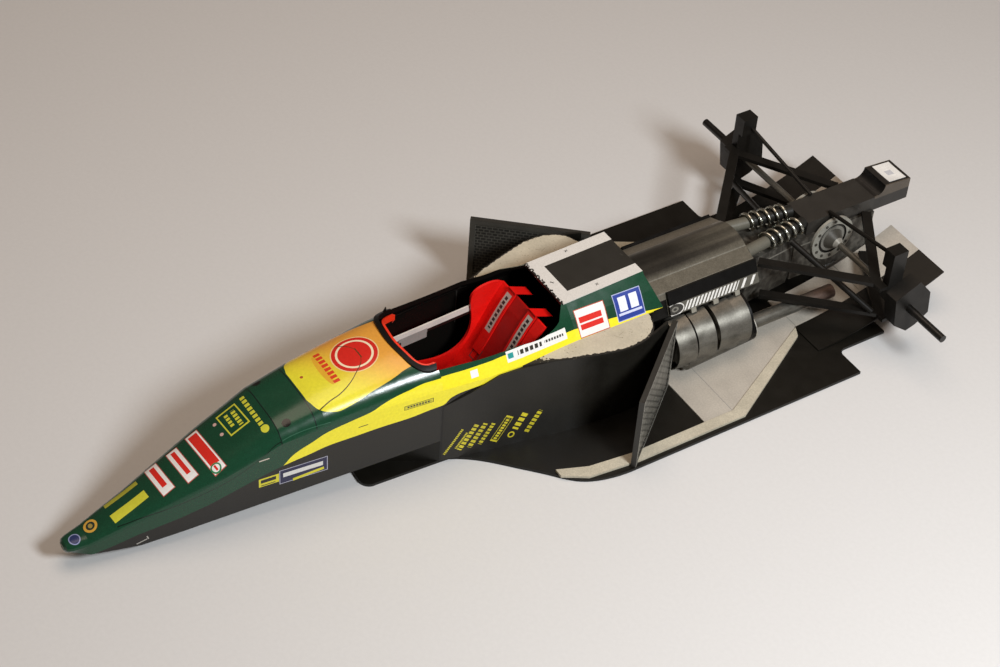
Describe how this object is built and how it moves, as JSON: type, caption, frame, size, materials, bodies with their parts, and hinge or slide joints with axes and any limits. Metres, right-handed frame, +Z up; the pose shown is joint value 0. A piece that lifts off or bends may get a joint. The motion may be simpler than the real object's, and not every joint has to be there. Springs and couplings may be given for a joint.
{
  "type": "part-built card model of an open wheel racing car",
  "caption": "Part-built card model of an open wheel racing car: nose, tub, seat, floor, radiators, engine, exhausts, gearbox and rear suspension with turning stub axles, and no wheels yet.",
  "frame": {"origin": "middle of the model's bounding box, on the surface that the floor plate lies on", "axes": "+Y from the nose to the tail, +X to the car's left side, +Z up"},
  "size_m": [0.0756, 0.1808, 0.0242],
  "materials": {
    "black_card": "matt black printed card",
    "cream_card": "bare uncoated card",
    "dark_grey_card": "dark grey printed card",
    "deck_card": "white and black printed card",
    "green_card": "satin green, yellow and black printed card",
    "grey_card": "grey printed card",
    "nose_card": "satin green and black printed card",
    "pale_card": "light grey printed card",
    "red_card": "red printed card",
    "silver_card": "silver grey printed card, glossy",
    "spring_wire": "bare metal wire"
  },
  "bodies": {
    "chassis": {"bellhousing": "grey_card", "belts": "red_card", "brake_duct_left": "black_card", "brake_duct_right": "black_card", "cam_cover_left": "black_card", "cam_cover_right": "black_card", "cockpit_liner": "red_card", "cockpit_trim": "black_card", "cockpit_tub": "green_card", "crash_box": "black_card", "damper_left": "silver_card", "damper_right": "silver_card", "diffuser_side_left": "black_card", "diffuser_side_right": "black_card", "driveshafts": "silver_card", "engine_block": "grey_card", "exhaust_manifold_left": "silver_card", "exhaust_manifold_right": "silver_card", "floor_cover_left": "pale_card", "floor_cover_right": "pale_card", "floor_plate": "black_card", "front_tub": "green_card", "gearbox": "dark_grey_card", "gearbox_top": "black_card", "glue_strips": "cream_card", "keel": "black_card", "linkage_rod": "silver_card", "lower_wishbone_left": "black_card", "lower_wishbone_right": "black_card", "nose_cone": "nose_card", "output_disc_left": "silver_card", "output_disc_right": "silver_card", "plenum": "grey_card", "pushrods": "black_card", "radiator_left": "dark_grey_card", "radiator_right": "dark_grey_card", "rear_deck": "deck_card", "seat": "red_card", "spring_left": "spring_wire", "spring_right": "spring_wire", "tail_pipe_left": "silver_card", "tail_pipe_right": "silver_card", "tank_flange_left": "cream_card", "tank_flange_right": "cream_card", "tank_wall_left": "black_card", "tank_wall_right": "black_card", "toe_links": "black_card", "tunnel_roof_left": "pale_card", "tunnel_roof_right": "pale_card", "upper_wishbone_left": "black_card", "upper_wishbone_right": "black_card", "upright_left": "black_card", "upright_right": "black_card"},
    "axle_left": {"stub_axle_left": "black_card"},
    "axle_right": {"stub_axle_right": "black_card"}
  },
  "joints": [
    {"name": "axle_left_spin", "type": "hinge", "parent": "chassis", "child": "axle_left", "pos_m": [0.0267, 0.07085, 0.0114], "axis": [1, 0, 0], "continuous": true},
    {"name": "axle_right_spin", "type": "hinge", "parent": "chassis", "child": "axle_right", "pos_m": [-0.0267, 0.07085, 0.0114], "axis": [1, 0, 0], "continuous": true}
  ]
}
